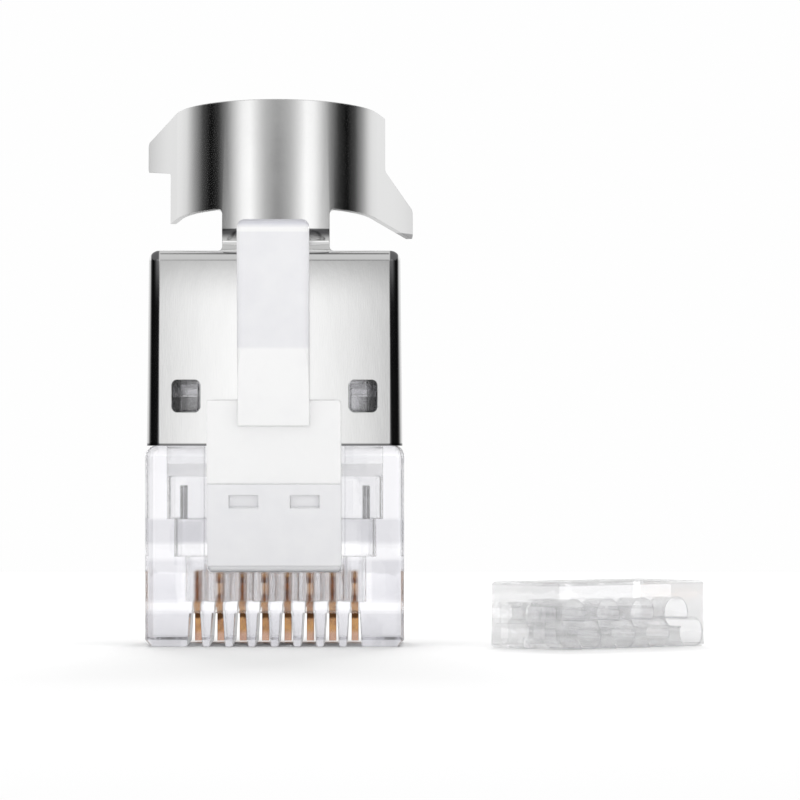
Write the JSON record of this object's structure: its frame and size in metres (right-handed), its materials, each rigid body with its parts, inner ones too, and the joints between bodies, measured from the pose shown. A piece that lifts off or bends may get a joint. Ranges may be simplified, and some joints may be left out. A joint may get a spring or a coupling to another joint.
{
  "type": "shielded rj45 modular plug",
  "caption": "Shielded modular plug for network cable: clear body, gold contact blades, press latch, folded metal shell with open crimp collar, load bar taken out beside it.",
  "frame": {"origin": "middle of the nose face that the plug stands on", "axes": "+Z from the nose to the cable end, -Y the latch side, +Y the contact side, +X to the right seen from the latch side"},
  "size_m": [0.0253, 0.0149, 0.0245],
  "materials": {
    "clear_body": "clear polycarbonate, moulded, glossy",
    "frosted_latch": "clear polycarbonate with a milky, finely frosted skin",
    "plated_shield": "bright nickel plate on folded sheet",
    "clear_bar": "clear polycarbonate, moulded, glossy",
    "gold_contact": "gold plate on phosphor bronze"
  },
  "bodies": {
    "plug": {"housing": "clear_body", "shield": "plated_shield", "load_bar": "clear_bar"},
    "latch_arm": {"latch": "frosted_latch"},
    "blade_1": {"contact_1": "gold_contact"},
    "blade_2": {"contact_2": "gold_contact"},
    "blade_3": {"contact_3": "gold_contact"},
    "blade_4": {"contact_4": "gold_contact"},
    "blade_5": {"contact_5": "gold_contact"},
    "blade_6": {"contact_6": "gold_contact"},
    "blade_7": {"contact_7": "gold_contact"},
    "blade_8": {"contact_8": "gold_contact"}
  },
  "joints": [
    {"name": "latch_root", "type": "hinge", "parent": "plug", "child": "latch_arm", "pos_m": [0, -0.00288, 0.00375], "axis": [-1, 0, 0], "range_deg": [0, 9], "stiffness_Nm_per_rad": 0.5},
    {"name": "crimp_1", "type": "slide", "parent": "plug", "child": "blade_1", "axis": [0, -1, 0], "range_m": [0, 0.00103]},
    {"name": "crimp_2", "type": "slide", "parent": "plug", "child": "blade_2", "axis": [0, -1, 0], "range_m": [0, 0.00103]},
    {"name": "crimp_3", "type": "slide", "parent": "plug", "child": "blade_3", "axis": [0, -1, 0], "range_m": [0, 0.00103]},
    {"name": "crimp_4", "type": "slide", "parent": "plug", "child": "blade_4", "axis": [0, -1, 0], "range_m": [0, 0.00103]},
    {"name": "crimp_5", "type": "slide", "parent": "plug", "child": "blade_5", "axis": [0, -1, 0], "range_m": [0, 0.00103]},
    {"name": "crimp_6", "type": "slide", "parent": "plug", "child": "blade_6", "axis": [0, -1, 0], "range_m": [0, 0.00103]},
    {"name": "crimp_7", "type": "slide", "parent": "plug", "child": "blade_7", "axis": [0, -1, 0], "range_m": [0, 0.00103]},
    {"name": "crimp_8", "type": "slide", "parent": "plug", "child": "blade_8", "axis": [0, -1, 0], "range_m": [0, 0.00103]}
  ],
  "couplings": [
    {"joint": "crimp_2", "follows": "crimp_1", "ratio": 1},
    {"joint": "crimp_3", "follows": "crimp_1", "ratio": 1},
    {"joint": "crimp_4", "follows": "crimp_1", "ratio": 1},
    {"joint": "crimp_5", "follows": "crimp_1", "ratio": 1},
    {"joint": "crimp_6", "follows": "crimp_1", "ratio": 1},
    {"joint": "crimp_7", "follows": "crimp_1", "ratio": 1},
    {"joint": "crimp_8", "follows": "crimp_1", "ratio": 1}
  ]
}
